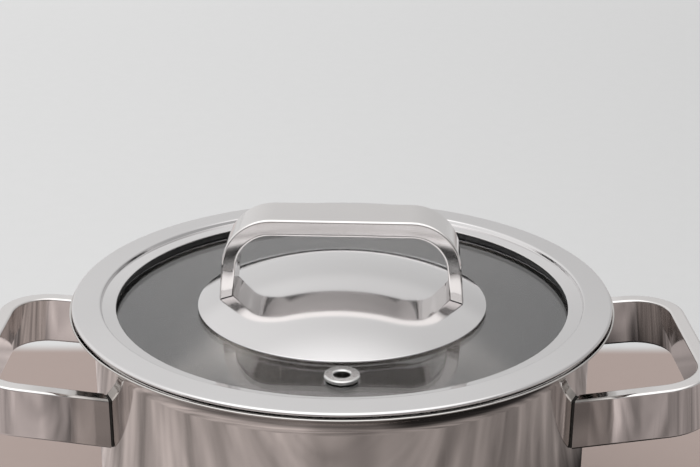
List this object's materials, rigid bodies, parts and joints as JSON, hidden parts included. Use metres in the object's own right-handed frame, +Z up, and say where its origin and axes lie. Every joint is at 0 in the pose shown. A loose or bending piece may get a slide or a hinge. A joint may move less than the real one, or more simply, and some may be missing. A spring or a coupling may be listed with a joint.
{
  "type": "stock pot",
  "caption": "Deep round steel cooking pot with flared rim, two strap loop handles and a steel-framed glass lid with vent, dome and arch handle.",
  "frame": {"origin": "centre of the pot's underside, on the surface it stands on", "axes": "+Z up along the pot's axis, +X through the right-hand side handle, +Y away from the vent side of the lid"},
  "size_m": [0.3574, 0.2634, 0.2192],
  "materials": {
    "polished_steel": "mirror-polished stainless steel outside, satin inside",
    "handle_steel": "polished cast and formed stainless steel",
    "lid_steel": "polished stamped stainless steel",
    "base_steel": "satin, turned in fine circles",
    "weld_plate": "dark recessed weld joint",
    "hardware_steel": "polished small steel parts",
    "aluminium_core": "plain aluminium, enclosed",
    "glass": "clear tempered glass with a grey tint",
    "black_silicone": "matt black silicone"
  },
  "bodies": {
    "pot": {"pot_body": "polished_steel", "base_core": "aluminium_core", "base_cap": "base_steel", "right_handle": "handle_steel", "left_handle": "handle_steel", "right_end_plates": "weld_plate", "left_end_plates": "weld_plate"},
    "lid": {"lid_rim": "lid_steel", "lid_ring": "lid_steel", "glass_gasket": "black_silicone", "lid_glass": "glass", "lid_dome": "lid_steel", "dome_seal": "black_silicone", "lid_handle": "handle_steel", "foot_pads": "black_silicone", "handle_spacers": "hardware_steel", "handle_bushings": "black_silicone", "handle_washers": "hardware_steel", "handle_screws": "hardware_steel", "vent_eyelet": "hardware_steel", "vent_grommet": "black_silicone", "vent_washer": "hardware_steel"}
  },
  "joints": [
    {"name": "lid_lift", "type": "slide", "parent": "pot", "child": "lid", "axis": [0, 0, 1], "range_m": [0, 0.12]}
  ]
}
